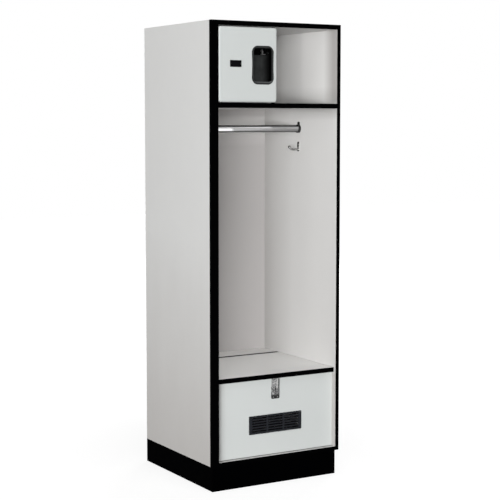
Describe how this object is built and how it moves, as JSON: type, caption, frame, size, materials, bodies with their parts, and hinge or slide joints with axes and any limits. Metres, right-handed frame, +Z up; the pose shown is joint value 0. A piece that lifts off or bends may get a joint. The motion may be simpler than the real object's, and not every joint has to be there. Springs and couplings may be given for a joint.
{
  "type": "doorless wood locker",
  "caption": "Tall open-front wood locker with a lockable box, cubby, shelf, coat rod, hook and a hinged seat over a vented foot locker.",
  "frame": {"origin": "middle of the footprint, on the floor", "axes": "+X to the right seen from the front, +Y to the back, +Z up"},
  "size_m": [0.6256, 0.6096, 1.9304],
  "materials": {
    "light_laminate": "light grey laminate on particle board, satin",
    "door_laminate": "light grey membrane-pressed door, satin",
    "black_edging": "black edge banding, matt",
    "black_laminate": "black laminate, satin",
    "bare_wood": "bare hardwood",
    "chrome": "bright chrome plate",
    "plated_steel": "bright zinc plate",
    "screw_steel": "zinc-plated steel",
    "black_plastic": "moulded, fine grain",
    "pocket_plastic": "dark grey moulded, fine grain",
    "nickel": "polished nickel plate",
    "staple_steel": "dull zinc plate",
    "black_screws": "black zinc",
    "black_steel": "black coated steel",
    "latch_steel": "dark coated steel, bare at the padlock eyes"
  },
  "bodies": {
    "carcass": {"left_end_panel": "light_laminate", "left_side_panel": "light_laminate", "right_side_panel": "light_laminate", "top_panel": "light_laminate", "shelf_panel": "light_laminate", "bottom_panel": "light_laminate", "box_partition": "light_laminate", "back_panel": "light_laminate", "foot_front_panel": "light_laminate", "seat_rear_strip": "light_laminate", "end_panel_lipping": "black_edging", "side_panel_edging": "black_edging", "top_edging": "black_edging", "shelf_edging": "black_edging", "bottom_edging": "black_edging", "partition_edging": "black_edging", "base_front_board": "black_laminate", "base_back_board": "black_laminate", "base_left_board": "black_laminate", "base_right_board": "black_laminate", "carcass_dowels": "bare_wood", "base_corner_blocks": "bare_wood", "lid_battens": "bare_wood", "coat_rod": "chrome", "rod_socket_left": "nickel", "rod_socket_right": "nickel", "coat_hook": "nickel", "latch_keeper": "plated_steel", "door_pivot_pins": "plated_steel", "hasp_staple": "staple_steel", "end_panel_screws": "screw_steel", "back_panel_screws": "screw_steel", "base_screws": "screw_steel", "lid_batten_screws": "screw_steel", "hasp_staple_screws": "screw_steel", "latch_keeper_screws": "screw_steel", "rod_socket_screws": "black_screws", "coat_hook_screws": "black_screws", "vent_screws": "black_screws", "lid_hinge_fixed_screws": "black_screws", "lid_hinge_fixed_leaf": "black_steel", "lid_hinge_pin": "black_steel", "vent_grille": "black_plastic"},
    "door": {"box_door": "door_laminate", "door_pivot_bushings": "black_plastic", "handle_pocket": "pocket_plastic", "latch_case": "latch_steel", "latch_case_screws": "screw_steel", "number_plate": "black_plastic", "number_plate_rivets": "black_screws"},
    "latch": {"latch_lever": "latch_steel"},
    "lid": {"seat_lid": "light_laminate", "seat_lid_edging": "black_edging", "lid_hinge_moving_leaf": "black_steel", "lid_hinge_moving_screws": "black_screws", "hasp_leaf": "plated_steel", "hasp_pin": "plated_steel", "hasp_leaf_screws": "screw_steel"},
    "hasp": {"hasp_strap": "plated_steel"}
  },
  "joints": [
    {"name": "door_hinge", "type": "hinge", "parent": "carcass", "child": "door", "pos_m": [-0.2638, -0.2918, 1.7543], "axis": [0, 0, -1], "range_deg": [0, 105]},
    {"name": "latch_lift", "type": "slide", "parent": "door", "child": "latch", "axis": [0, 0, 1], "range_m": [0, 0.008]},
    {"name": "lid_hinge", "type": "hinge", "parent": "carcass", "child": "lid", "pos_m": [0.008, 0.1696, 0.4635], "axis": [-1, 0, 0], "range_deg": [0, 105]},
    {"name": "hasp_hinge", "type": "hinge", "parent": "lid", "child": "hasp", "pos_m": [0.0092, -0.2771, 0.4401], "axis": [-1, 0, 0], "range_deg": [0, 90]}
  ]
}
